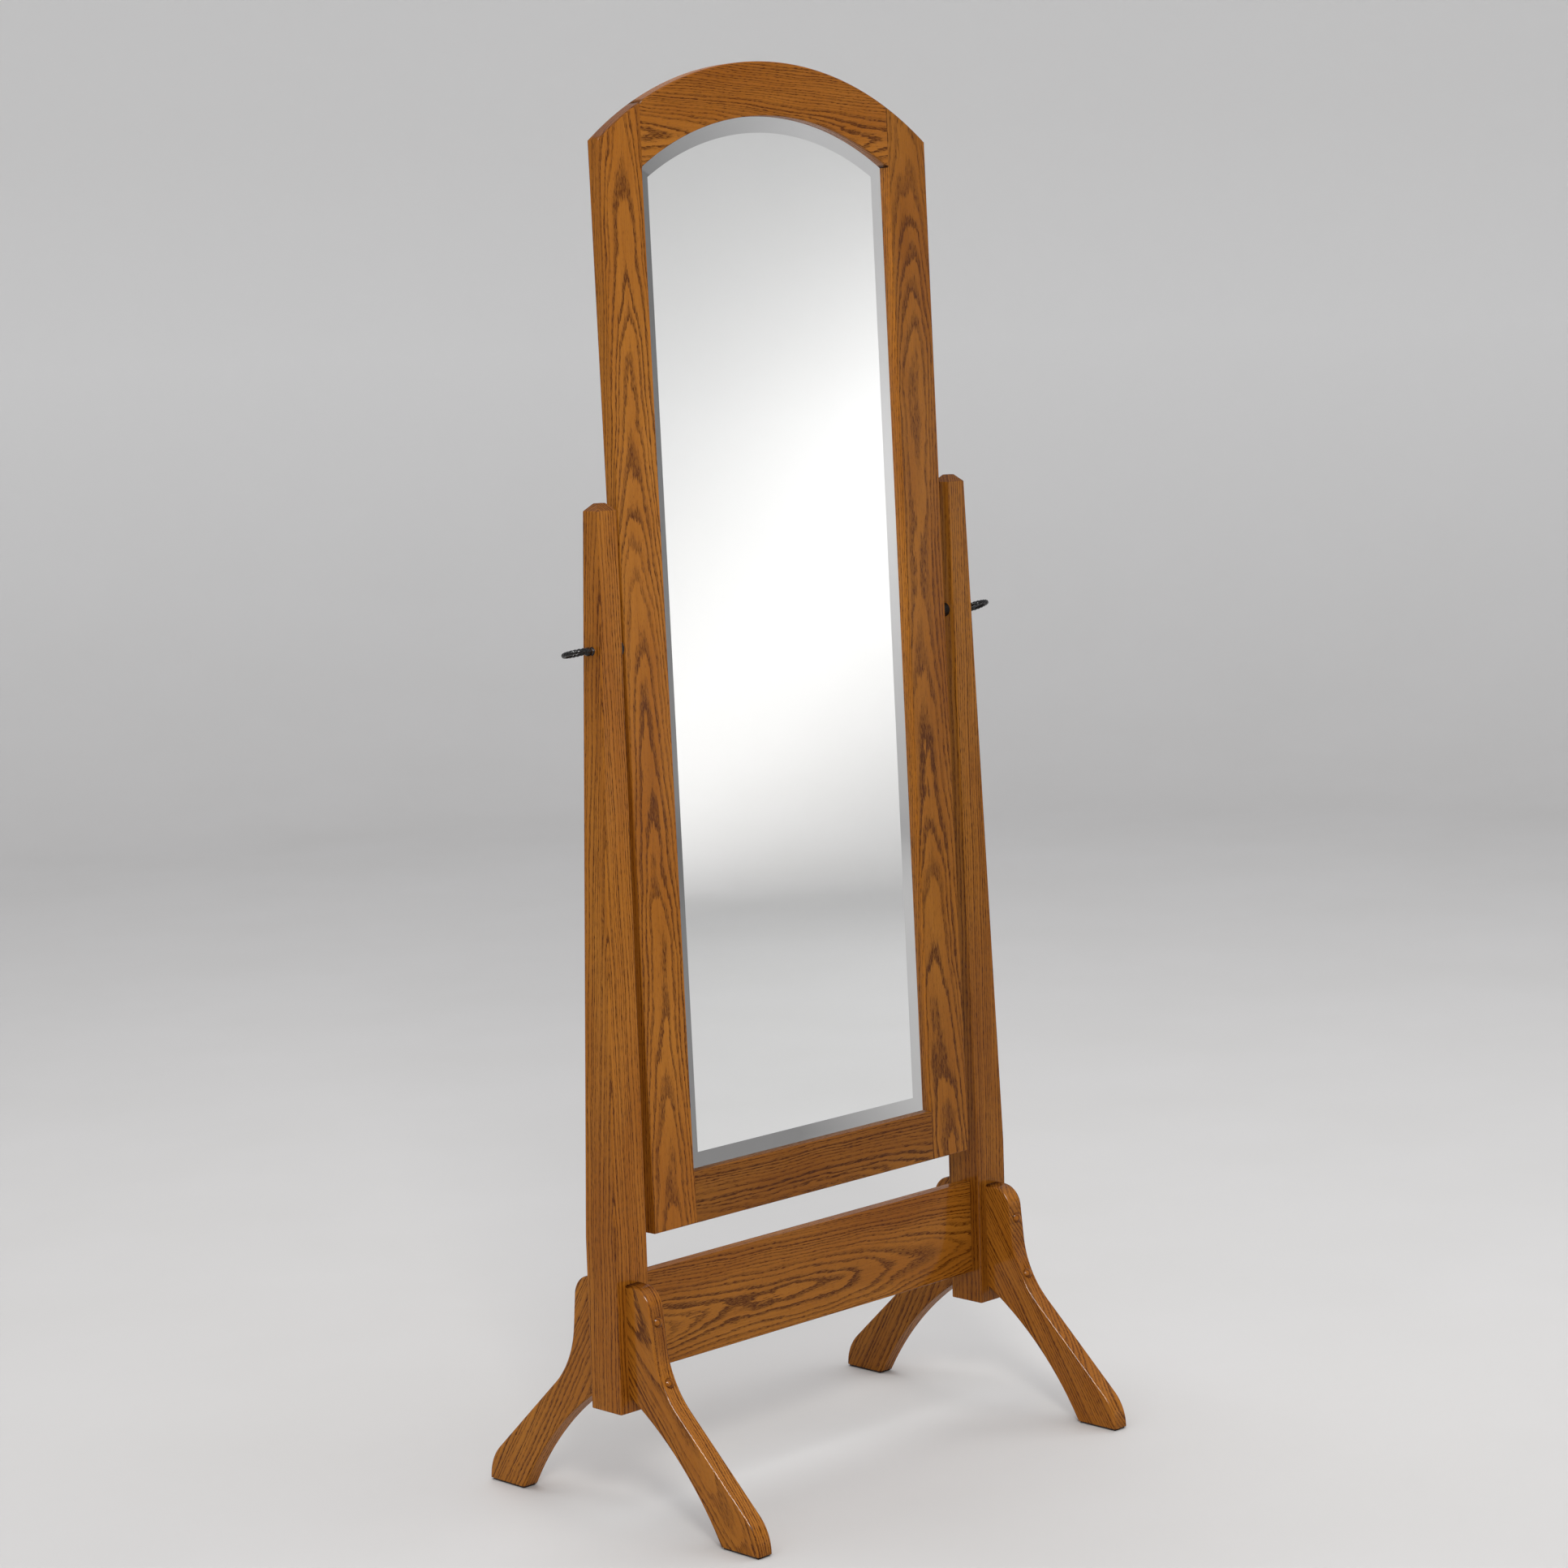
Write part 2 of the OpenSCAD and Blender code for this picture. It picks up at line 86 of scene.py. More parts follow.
# Posts
post_low, post_high = extent("right_post")
TAPER_START, TAPER_END = 372 * MM, 1304.5 * MM
POST_IN, POST_IN_TOP = 316.4 * MM, 308.5 * MM
POST_OUT_TOP = 341 * MM
POST_TOP_D = 29 * MM

# Legs, as distances outwards from the middle of the stand, and heights
leg_low, leg_high = extent("front_right_leg")
leg_x = (leg_low.x + leg_high.x) / 2
leg_t = leg_high.x - leg_low.x
pad_t = extent("foot_pads")[1].z
toe, shoulder = -leg_low.y, -leg_high.y
HEEL = 189 * MM
LEG_CORNERS = [                       # distance, height, corner radius
    (shoulder, 166 * MM, 0),
    (129.6 * MM, 104.9 * MM, 450 * MM),
    (HEEL, pad_t, 0),
    (toe, pad_t, 0),
    (toe, 30.2 * MM, 62 * MM),
    (81.8 * MM, 192.9 * MM, 130 * MM),
    (69.4 * MM, leg_high.z, 30 * MM),
    (shoulder, leg_high.z, 0),
]
PLUGS = [                             # distance, height, slope of the leg's face
    ("upper", 73.9 * MM, 271 * MM, math.radians(5.9)),
    ("lower", 91.4 * MM, 194 * MM, math.radians(27.9)),
]
PLUG_R, PLUG_H, PLUG_LIFT = 7.3 * MM, 4.4 * MM, 0.25 * MM
PLUG_STEM_R, PLUG_STEM_L = 4.5 * MM, 3 * MM

# Knobs
RING_R, RING_ROD_R = 16.5 * MM, 3.2 * MM
RING_TURNS = {-1: math.radians(15), 1: math.radians(22)}      # left and right, front edge upwards
ring_x = extent("right_knob_ring")[1].x - RING_R - RING_ROD_R
collar_x = extent("right_knob_ring")[0].x
COLLAR_R, COLLAR_L = 5.75 * MM, 10.5 * MM

# How far the edges are rounded over
RIM = 2.2 * MM                        # depth of every rounded edge
EASE = 2.2 * MM                       # outer edges of the frame
SIGHT_EASE = 1.6 * MM                 # edges of the opening
JOINT = 0.14 * MM                     # glued joints, which show as a fine line
LEG_EASE = 3.2 * MM
HEEL_EASE = 0.8 * MM


# Meshes -----------------------------------------------------------------------------------------

def make_piece(name, build, matrix, body, replaced, material):
    """A mesh built by build(bmesh), placed by matrix, riding on body and standing for CAD nodes."""
    bm = bmesh.new()
    build(bm)
    bmesh.ops.remove_doubles(bm, verts=bm.verts, dist=1e-6)
    bmesh.ops.dissolve_degenerate(bm, edges=bm.edges, dist=1e-7)
    bmesh.ops.recalc_face_normals(bm, faces=bm.faces)
    mesh = bpy.data.meshes.new(name)
    bm.to_mesh(mesh)
    bm.free()
    piece = bpy.data.objects.new(name, mesh)
    bpy.context.scene.collection.objects.link(piece)
    piece.matrix_world = matrix
    for one in material if isinstance(material, list) else [material]:
        mesh.materials.append(one)
    if body:
        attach(piece, body)
        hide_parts(*replaced)
    return piece


def loft(bm, loops, closed=False, caps=True):
    """Joins loops of points, all of one length, with a skin; closed joins the last to the first."""
    rows = [[bm.verts.new(p) for p in loop] for loop in loops]
    pairs = list(zip(rows, rows[1:]))
    if closed:
        pairs.append((rows[-1], rows[0]))
    for a, b in pairs:
        for i in range(len(a)):
            j = (i + 1) % len(a)
            bm.faces.new((a[i], a[j], b[j], b[i])).smooth = True
    if caps and not closed:
        bm.faces.new(rows[0]).smooth = True
        bm.faces.new(rows[-1]).smooth = True


def weigh_normals(piece):
    """Keeps large faces flat, so that only the rounded edges between them shade round."""
    weighted = piece.modifiers.new("weighted", "WEIGHTED_NORMAL")
    weighted.mode = "FACE_AREA"
    weighted.weight = 50


def arc(radius, start, end, steps, centre=(0, 0)):
    """Points of an arc; start and end are in radians, from the first axis towards the second."""
    angles = [start + (end - start) * i / steps for i in range(steps + 1)]
    return [(centre[0] + radius * math.cos(a), centre[1] + radius * math.sin(a)) for a in angles]


def rounded_outline(corners, steps=14):
    """The corners joined by straight lines, each rounded by its own radius."""
    outline = []
    for i, (u, v, radius) in enumerate(corners):
        here = Vector((u, v))
        if radius == 0:
            outline.append((u, v))
            continue
        before = (Vector(corners[i - 1][:2]) - here).normalized()
        after = (Vector(corners[(i + 1) % len(corners)][:2]) - here).normalized()
        half = before.angle(after) / 2
        centre = here + (before + after).normalized() * radius / math.sin(half)
        first = here + before * radius / math.tan(half) - centre
        last = here + after * radius / math.tan(half) - centre
        turn = math.atan2(first.x * last.y - first.y * last.x, first.dot(last))
        start = math.atan2(first.y, first.x)
        outline += arc(radius, start, start + turn, steps, centre)
    return outline


SMOOTH_TURN = 0.12                    # sine of the sharpest turn that is still part of a smooth arc


def inset_directions(outline):
    """For each point of (u, v, ease), the step inwards that moves each edge in by its own ease."""
    area = sum(a[0] * b[1] - b[0] * a[1] for a, b in zip(outline, outline[1:] + outline[:1]))
    side = 1 if area > 0 else -1
    steps = []
    for i, (u, v, ease) in enumerate(outline):
        pu, pv, ease_before = outline[i - 1]
        nu, nv, _ = outline[(i + 1) % len(outline)]
        d0, d1 = Vector((u - pu, v - pv)).normalized(), Vector((nu - u, nv - v)).normalized()
        n0, n1 = side * Vector((-d0.y, d0.x)), side * Vector((-d1.y, d1.x))
        cross = n0.x * n1.y - n0.y * n1.x
        if abs(cross) < SMOOTH_TURN:  # a straight run or a smooth arc
            steps.append((n0 + n1).normalized() * min(ease_before, ease))
        else:
            step = Vector((ease_before * n1.y - ease * n0.y, ease * n0.x - ease_before * n1.x))
            steps.append(step / cross)
    return steps


def board(bm, front, back, y_front, y_lip, y_back, rim=RIM, steps=4):
    """A board with rounded edges: the front outline runs to y_lip, the back one from there on."""
    loops = []

    def add(outline, insets, share, y):
        loops.append([(p[0] + d.x * share, y, p[1] + d.y * share) for p, d in zip(outline, insets)])

    front_insets, back_insets = inset_directions(front), inset_directions(back)
    for k in range(steps + 1):
        a = math.pi / 2 * k / steps
        add(front, front_insets, 1 - math.sin(a), y_front + rim * (1 - math.cos(a)))
    if y_lip is not None:
        add(front, front_insets, 0, y_lip)
        add(back, back_insets, 0, y_lip)
    for k in range(steps, -1, -1):
        a = math.pi / 2 * k / steps
        add(back, back_insets, 1 - math.sin(a), y_back - rim * (1 - math.cos(a)))
    loft(bm, loops)


def eased(outline, ease):
    return [(*p[:2], ease) for p in outline]


def circle(radius, z, steps):
    return [(radius * math.cos(a), radius * math.sin(a), z)
            for a in (2 * math.pi * i / steps for i in range(steps))]


def lathe(bm, profile, steps=40):
    """Turns a profile of (radius, z) round the Z axis."""
    loft(bm, [circle(r, z, steps) for r, z in profile])


# Materials --------------------------------------------------------------------------------------

class Shader:
    """A material's node tree. Each call adds a node and joins it to what it is given."""

    def __init__(self, name):
        self.material = bpy.data.materials.new(name)
        self.material.use_nodes = True
        self.tree = self.material.node_tree
        self.tree.nodes.clear()

    def node(self, kind, inputs, **settings):
        made = self.tree.nodes.new("ShaderNode" + kind)
        for key, value in settings.items():
            setattr(made, key, value)
        for key, value in inputs.items():
            if isinstance(value, bpy.types.NodeSocket):
                self.tree.links.new(value, made.inputs[key])
            else:
                made.inputs[key].default_value = value
        return made

    def coordinates(self):
        return self.node("TexCoord", {}).outputs["Object"]

    def math(self, operation, *values):
        return self.node("Math", dict(enumerate(values)), operation=operation).outputs[0]

    def vector(self, operation, *values):
        made = self.node("VectorMath", dict(enumerate(values)), operation=operation)
        return made.outputs["Value" if operation == "LENGTH" else "Vector"]

    def noise(self, vector, scale, detail=2.0, roughness=0.5, output="Fac"):
        """Noise of the place vector; scale is a number, or one number for each axis."""
        scaled = self.vector("MULTIPLY", vector, scale if hasattr(scale, "__len__") else (scale,) * 3)
        inputs = {"Vector": scaled, "Scale": 1.0, "Detail": detail, "Roughness": roughness}
        return self.node("TexNoise", inputs).outputs[output]

    def ramp(self, factor, stops, interpolation="LINEAR"):
        """A curve from 0 to 1 through stops of (position, value)."""
        made = self.node("ValToRGB", {0: factor})
        made.color_ramp.interpolation = interpolation
        points = made.color_ramp.elements
        while len(points) < len(stops):
            points.new(0.5)
        for point, (position, value) in zip(points, stops):
            point.position = position
            point.color = (value, value, value, 1)
        return made.outputs[0]

    def rescale(self, value, low, high, to_low=0.0, to_high=1.0):
        inputs = {0: value, 1: low, 2: high, 3: to_low, 4: to_high}
        return self.node("MapRange", inputs, clamp=True).outputs[0]

    def mix(self, factor, a, b):
        return self.node("Mix", {0: factor, 6: a, 7: b}, data_type="RGBA").outputs[2]

    def finish(self, bump=None, **inputs):
        """Joins the surface up; bump is (height, distance in metres, strength)."""
        if bump:
            height, distance, strength = bump
            normal = self.node("Bump", {"Height": height, "Distance": distance, "Strength": strength})
            inputs["Normal"] = normal.outputs[0]
        named = {key.replace("_", " "): value for key, value in inputs.items()}
        surface = self.node("BsdfPrincipled", named)
        self.node("OutputMaterial", {"Surface": surface.outputs[0]})
        return self.material


def rgb(red, green, blue):
    """A colour given as the 0 to 255 values it shows as, turned to the linear values shaders take."""
    channel = [c / 255 for c in (red, green, blue)]
    return (*[c / 12.92 if c <= 0.04045 else ((c + 0.055) / 1.055) ** 2.4 for c in channel], 1.0)


X, Y, Z = Vector((1, 0, 0)), Vector((0, 1, 0)), Vector((0, 0, 1))

# Oak: the pale wood, its deeper patches, and the early wood and pores
HONEY = rgb(176, 112, 37)
HONEY_DEEP = rgb(150, 87, 20)
GRAIN = rgb(72, 32, 4)
END_DARKNESS = 0.5                    # how much of the grain's colour end grain takes on, for its deeper stain and for painted shade under the arch

# How finely each of its noises varies, per metre: across the board, into it and along it
DRIFT_GRAIN = (5.0, 5.0, 1.7)
WAVER_GRAIN = (38.0, 38.0, 9.0)
TOOTH_GRAIN = (520.0, 520.0, 50.0)
PORE_GRAIN = (1250.0, 1250.0, 120.0)
FIBRE_GRAIN = (320.0, 320.0, 6.0)
PATCH_GRAIN = (14.0, 14.0, 2.4)
WAVER, TOOTH = 6.5 * MM, 1.9 * MM     # how far a ring strays, and how ragged its edge is
YEAR_SCALE, YEAR_SPREAD = 0.37, 1.6   # how unevenly the tree has grown
# How dark the wood is through one ring, from one winter to the next
RING_CURVE = [(0.0, 0.0), (0.10, 1.0), (0.34, 0.75), (0.62, 0.1), (1.0, 0.0)]
PORE_EDGE = 13.0                      # how sharply a pore is set off from the wood
SEED_STEP = 3.1                       # from one board's wood to the next, in metres


def oak(name, along, face, pith, slope=0.03, ring=5.0, tone=1.0, seed=0.0, wander=12.0):
    """Stained, lacquered red oak. The grain runs along one direction of the board, and face is the normal
    of its wide side. pith is where the middle of the tree lies, in millimetres across the board and below
    its middle. slope is how fast the rings drift along the board, ring how thick each one is and wander
    how far they bend, both in millimetres. tone darkens the wood, and seed picks another piece of it."""
    s = Shader(name)
    across = face.cross(along)
    turned = s.node("Mapping", {
        "Vector": s.coordinates(),
        "Rotation": Matrix((across, face, along)).to_euler(),
        "Location": (-pith[0] * MM, pith[1] * MM, SEED_STEP * seed),
    }).outputs[0]

    # The tree's rings: distance from the pith, bending along the board
    slow = s.noise(turned, DRIFT_GRAIN, 1.5, 0.5, "Color")
    quick = s.noise(turned, WAVER_GRAIN, 2.0, 0.5, "Color")
    drift = s.vector("MULTIPLY", s.vector("SUBTRACT", slow, (0.5,) * 3), (2 * wander * MM,) * 3)
    ragged = s.noise(turned, TOOTH_GRAIN, 2.0, 0.6, "Color")
    waver = s.vector("MULTIPLY", s.vector("SUBTRACT", quick, (0.5,) * 3), (WAVER,) * 3)
    tooth = s.vector("MULTIPLY", s.vector("SUBTRACT", ragged, (0.5,) * 3), (TOOTH,) * 3)
    moved = s.vector("ADD", s.vector("ADD", turned, drift), s.vector("ADD", waver, tooth))
    radius = s.vector("LENGTH", s.vector("MULTIPLY", moved, (1.0, 1.0, 0.0)))
    height = s.node("SeparateXYZ", {0: turned}).outputs[2]
    phase = s.math("DIVIDE", s.math("ADD", radius, s.math("MULTIPLY", height, slope)), ring * MM)
    years = s.node("TexNoise", {"W": phase, "Scale": YEAR_SCALE, "Detail": 1.0}, noise_dimensions="1D")
    years = years.outputs["Fac"]
    phase = s.math("ADD", phase, s.math("MULTIPLY", years, YEAR_SPREAD))
    early = s.ramp(s.math("FRACT", phase), RING_CURVE, "EASE")
    early = s.math("MULTIPLY", early, s.rescale(years, 0.35, 0.65, 0.6, 1.15))

    # Open pores, crowded in the early wood, and fine fibres; end grain is darker, partly as it drinks in
    # more of the stain and partly as painted shade under the arch
    pores = s.noise(turned, PORE_GRAIN, 1.5)
    threshold = s.math("SUBTRACT", 0.6, s.math("MULTIPLY", early, 0.15))
    pore = s.math("MULTIPLY", s.math("SUBTRACT", pores, threshold), PORE_EDGE)
    pore = s.node("Clamp", {0: pore}).outputs[0]
    fibre = s.noise(turned, FIBRE_GRAIN, 3.0, 0.6)
    patch = s.noise(turned, PATCH_GRAIN, 3.0, 0.55)

    dark = s.math("MULTIPLY", early, 0.5)
    dark = s.math("ADD", dark, s.math("MULTIPLY", pore, s.math("ADD", 0.3, s.math("MULTIPLY", early, 0.3))))
    dark = s.math("ADD", dark, s.rescale(fibre, 0.3, 0.7, -0.1, 0.13))
    # faces cut across the grain are darkened: deeper stain on end grain, and also painted shade on the
    # underside of the arch
    normal = s.node("TexCoord", {}).outputs["Normal"]
    end = s.node("VectorMath", {0: normal, 1: along}, operation="DOT_PRODUCT").outputs["Value"]
    end = s.rescale(s.math("ABSOLUTE", end), 0.2, 0.75, 0.0, END_DARKNESS)
    dark = s.node("Clamp", {0: s.math("ADD", dark, end), "Max": 0.9}).outputs[0]
    shade = [(*[c * tone for c in colour[:3]], 1.0) for colour in (HONEY, HONEY_DEEP, GRAIN)]
    ground = s.mix(s.rescale(patch, 0.3, 0.7), shade[0], shade[1])
    colour = s.mix(dark, ground, shade[2])
    height = s.math("SUBTRACT", s.math("MULTIPLY", fibre, 0.25), pore)
    return s.finish(
        bump=(height, 0.22 * MM, 0.35),
        Base_Color=colour,
        Roughness=s.math("ADD", 0.4, s.math("MULTIPLY", pore, 0.2)),
        Specular_IOR_Level=0.02,
        Coat_Weight=0.28,
        Coat_Roughness=0.09,
    )


def flecked(name, colour, fleck, scale, roughness, metallic=0.0, depth=0.1, stretch=(1, 1, 1),
            gloss=0.5):
    """A plain material with a fine fleck in its colour, gloss and surface. depth is in millimetres."""
    s = Shader(name)
    grain = s.noise(s.coordinates(), [scale * k for k in stretch], 4.0, 0.6)
    share = s.rescale(grain, 0.35, 0.65)
    return s.finish(
        bump=(grain, depth * MM, 0.4),
        Base_Color=s.mix(share, colour, fleck),
        Roughness=s.rescale(grain, 0.3, 0.7, roughness - 0.08, roughness + 0.1),
        Metallic=metallic,
        Specular_IOR_Level=gloss,
    )


PAINTED_LIGHT_SIDE = (0.9, 0.0, 0.44)        # the side from which painted light falls on the bevel
PAINTED_SHADE_SPREAD = (-0.03, 0.07)          # lean towards that side at which a facet takes the full painted shade, and the full painted light


def silvered(name, colour, smear, painted_shade=None):
    """Silvered glass: a mirror with the faintest smears on it. painted_shade, for a bevel, is the colour of
    the painted shade on the facets that lean down or to the left; facets that lean right or up keep the
    paler painted light."""
    s = Shader(name)
    cloud = s.noise(s.coordinates(), 7.0, 3.0)
    tint = s.mix(cloud, colour, [c * 0.985 for c in colour[:3]] + [1.0])
    if painted_shade:
        # painted shade and light on the bevel: facets leaning down or to the left are darkened, those
        # leaning right or up stay pale
        lean = s.node("TexCoord", {}).outputs["Normal"]
        lean = s.node("VectorMath", {0: lean, 1: PAINTED_LIGHT_SIDE}, operation="DOT_PRODUCT").outputs["Value"]
        tint = s.mix(s.rescale(lean, *PAINTED_SHADE_SPREAD), painted_shade, tint)
    return s.finish(
        Base_Color=tint,
        Roughness=s.rescale(cloud, 0.3, 0.8, 0.0, smear),
        Metallic=1.0,
    )


black_iron = flecked("black_iron", rgb(10, 10, 10), rgb(20, 19, 18), 900, 0.22, 0.0, 0.1, gloss=0.3)
iron_washer = flecked("black_washer", rgb(34, 33, 33), rgb(50, 48, 46), 700, 0.42, 0.85, 0.08)
steel = flecked("steel", rgb(150, 152, 155), rgb(182, 184, 188), 600, 0.34, 1.0, 0.03)
brass = flecked("brass", rgb(176, 140, 72), rgb(204, 172, 104), 500, 0.32, 1.0, 0.03)
hardboard = flecked("hardboard", rgb(104, 76, 50), rgb(136, 102, 70), 420, 0.62, 0.0, 0.2, (1, 1, 1.6))
felt = flecked("felt", rgb(40, 30, 22), rgb(62, 48, 36), 1500, 0.9, 0.0, 0.5)
foam = flecked("foam", rgb(44, 44, 46), rgb(66, 66, 68), 1100, 0.88, 0.0, 0.5)
glass_edge = flecked("glass_edge", rgb(70, 92, 84), rgb(96, 118, 108), 90, 0.25, 0.0, 0.02)
silver_flat = silvered("silvered_glass", rgb(246, 247, 247), 0.02)
# the bevel's facets carry painted shade where they lean down or left, and painted light where they lean
# right or up
silver_bevel_painted_shade = silvered("silvered_bevel_painted_shade", rgb(240, 240, 240), 0.04, rgb(150, 150, 150))
dowel_oak = oak("oak_dowel", X, Y, (30, 40), ring=3.0, tone=1.25)

# CAD nodes whose shape is right keep it, and take a finer material
for nodes, material in [
    (("stretcher_dowels", "frame_dowels"), dowel_oak),
    (("leg_screws", "panel_screws", "left_knob_stud", "right_knob_stud"), steel),
    (("left_insert", "right_insert"), brass),
    (("left_spacer", "right_spacer", "left_bushing", "right_bushing"), iron_washer),
    (("back_panel",), hardboard),
    (("glass_pads",), foam),
]:
    for name in nodes:
        carried = frame["nodes"][name].data.materials
        carried.clear()
        carried.append(material)
frame["nodes"]["frame_dowels"].visible_glossy = False     # they sit in boards that the glass doesn't show


# Mirror frame -----------------------------------------------------------------------------------

def arch_height(radius, x):
    return arch_z + math.sqrt(radius * radius - x * x)


def arch_points(radius, x0, x1, steps):
    """Points along an arc of the arch, from x0 to x1, over its crown."""
    a0, a1 = (math.acos(x / radius) for x in (x0, x1))
    return arc(radius, a0, a1, steps, (0, arch_z))


REACH = 2 * MM                        # length over which an edge's rounding fades out at a joint
HAIR = 0.05 * MM


def stile(side):
    """The upright on one side, its head cut to the arch, with the rebate for the glass behind."""
    wall = sight_half_w + REBATE_W
    rebate_r = SIGHT_R + REBATE_W
    sight_top = arch_height(SIGHT_R, sight_half_w)
    rebate_low = sight_bottom - REBATE_W
    outer = [(sight_half_w, frame_bottom, EASE), (half_w, frame_bottom, EASE)]
    outer += eased(arch_points(ARCH_R, half_w, sight_half_w, 10), EASE)
    outer[-1] = (*outer[-1][:2], JOINT)
    inner = [                         # height, ease, and where the rebate's wall stands behind it
        (arch_height(rebate_r, sight_half_w), JOINT, sight_half_w),
        (arch_height(rebate_r, wall), JOINT, wall),
        (sight_top, SIGHT_EASE, wall),
        (sight_top - REACH, SIGHT_EASE, wall),
        (sight_bottom + REACH, SIGHT_EASE, wall),
        (sight_bottom, JOINT, wall),
        (rebate_low, JOINT, wall),
        (rebate_low - HAIR, JOINT, sight_half_w),
    ]
    front = outer + [(sight_half_w, z, ease) for z, ease, _ in inner]
    back = outer + [(x, z, JOINT) for z, _, x in inner]
    turned = [[(side * u, v, ease) for u, v, ease in outline] for outline in (front, back)]
    return lambda bm: board(bm, *turned, frame_front, lip_y, frame_back)


def top_rail(bm):
    outer = eased(arch_points(ARCH_R, sight_half_w, -sight_half_w, 44), EASE)
    outer[-1] = (*outer[-1][:2], JOINT)
    outlines = []
    for radius, ease in [(SIGHT_R, SIGHT_EASE), (SIGHT_R + REBATE_W, JOINT)]:
        inner = eased(arch_points(radius, -sight_half_w, sight_half_w, 44), ease)
        inner[-1] = (*inner[-1][:2], JOINT)
        outlines.append(outer + inner)
    board(bm, *outlines, frame_front, lip_y, frame_back)


def bottom_rail(bm):
    w = sight_half_w
    outlines = [
        [(-w, frame_bottom, EASE), (w, frame_bottom, JOINT), (w, top, ease), (-w, top, JOINT)]
        for top, ease in [(sight_bottom, SIGHT_EASE), (sight_bottom - REBATE_W, JOINT)]
    ]
    board(bm, *outlines, frame_front, lip_y, frame_back)


def bevelled_glass(bm):
    """Flat middle, a bevel all round it, a thin edge and the silvered back."""
    front_y, back_y = glass_low.y, glass_high.y
    loops = []
    for inset, y in [(BEVEL_W, front_y), (0, back_y - GLASS_EDGE_T), (0, back_y)]:
        w, bottom = glass_high.x - inset, glass_low.z + inset
        outline = [(-w, bottom), (w, bottom)] + arch_points(glass_r - inset, w, -w, 64)
        loops.append([(u, y, v) for u, v in outline])
    loft(bm, loops)
    for face in bm.faces:
        if len(face.verts) > 4:
            face.smooth = False
            continue
        ys = [v.co.y for v in face.verts]
        face.material_index = 1 if min(ys) < front_y + HAIR else 2
    for face in bm.faces:
        if len(face.verts) > 4:
            at_back = face.verts[0].co.y > back_y - HAIR
            face.material_index = 2 if at_back else 0
    for edge in bm.edges:
        kinds = {face.material_index for face in edge.link_faces}
        if len(kinds) > 1 or edge.calc_face_angle(0) > math.radians(20):
            edge.smooth = False


def frame_board(node, build, material):
    """One board of the frame. The bevel beside it shows the room and not the board."""
    piece = make_piece(node + "_board", build, in_frame, "mirror", [node], material)
    piece.visible_glossy = False
    weigh_normals(piece)


for side, word, material in [
    (-1, "left", oak("oak_left_stile", Z, Y, (-268, 60), 0.04, 3.5, 0.95, 1.3, 11)),
    (1, "right", oak("oak_right_stile", Z, Y, (258, 70), 0.03, 3.6, 0.76, 2.6, 20)),
]:
    frame_board(f"{word}_stile", stile(side), material)
frame_board("top_rail", top_rail, oak("oak_top_rail", X, Y, (-640, 60), 0.05, 3.4, 0.9, 3.9, 20))
frame_board("bottom_rail", bottom_rail, oak("oak_bottom_rail", X, Y, (770, 70), 0.02, 3.4, 0.64, 5.2, 14))
make_piece("bevelled_mirror", bevelled_glass, in_frame, "mirror", ["mirror_glass"],
           [silver_flat, silver_bevel_painted_shade, glass_edge])


# Stand ------------------------------------------------------------------------------------------

POST_EASE = 1.8 * MM
TOP_EASE = 0.6 * MM


def post(side):
    """A square post, tapered on all four sides above the stretcher, with its top chamfered."""
    chamfer = post_high.z - TAPER_END

    def section(z, inset):
        along = max(0, min(1, (z - TAPER_START) / (TAPER_END - TAPER_START)))
        x0 = POST_IN + (POST_IN_TOP - POST_IN) * along + inset
        x1 = post_high.x + (POST_OUT_TOP - post_high.x) * along - inset
        y1 = (post_high.y + (POST_TOP_D / 2 - post_high.y) * along) - inset
        points = []
        for cx, cy, start in [(x1, y1, 0), (x0, y1, 1), (x0, -y1, 2), (x1, -y1, 3)]:
            sx, sy = (-1 if cx == x1 else 1), (-1 if cy == y1 else 1)
            centre = (cx + sx * POST_EASE, cy + sy * POST_EASE)
            points += arc(POST_EASE, start * math.pi / 2, (start + 1) * math.pi / 2, 4, centre)
        return [(side * x - side * leg_x, y, z) for x, y in points]

    stations = [
        (post_low.z, 1.0 * MM), (post_low.z + 0.3 * MM, 0.3 * MM), (post_low.z + 1.0 * MM, 0),
        (TAPER_START, 0), (TAPER_END - TOP_EASE, 0), (TAPER_END + 0.1 * MM, 0.3 * MM),
        (TAPER_END + TOP_EASE, TOP_EASE + 0.1 * MM),
        (post_high.z - TOP_EASE, chamfer - TOP_EASE),
        (post_high.z - 0.1 * MM, chamfer + 0.1 * MM), (post_high.z, chamfer + 0.5 * MM),
    ]
    return lambda bm: loft(bm, [section(z, inset) for z, inset in stations])


stretcher_low, stretcher_high = extent("stretcher")


def stretcher(bm):
    x, low, high = stretcher_high.x, stretcher_low.z, stretcher_high.z
    outline = [(-x, low, EASE), (x, low, JOINT), (x, high, EASE), (-x, high, JOINT)]
    board(bm, outline, outline, stretcher_low.y, None, stretcher_high.y)


def leg(bm):
    outline = eased(rounded_outline(LEG_CORNERS), LEG_EASE)
    outline[-1] = (*outline[-1][:2], JOINT)
    heel = outline.index(min(outline, key=lambda p: (p[1], p[0])))
    outline[heel] = (*outline[heel][:2], HEEL_EASE)
    board(bm, outline, outline, -leg_t / 2, None, leg_t / 2, LEG_EASE, 5)


pad_low = extent("foot_pads")[0]
PAD_W, PAD_INSET = 21 * MM, 3 * MM


def foot_pad(bm):
    outline = [(HEEL + PAD_INSET, 0), (-pad_low.y, 0), (-pad_low.y, pad_t), (HEEL + PAD_INSET, pad_t)]
    outline = eased(outline, 0.5 * MM)
    board(bm, outline, outline, -PAD_W / 2, None, PAD_W / 2, 0.8 * MM, 3)


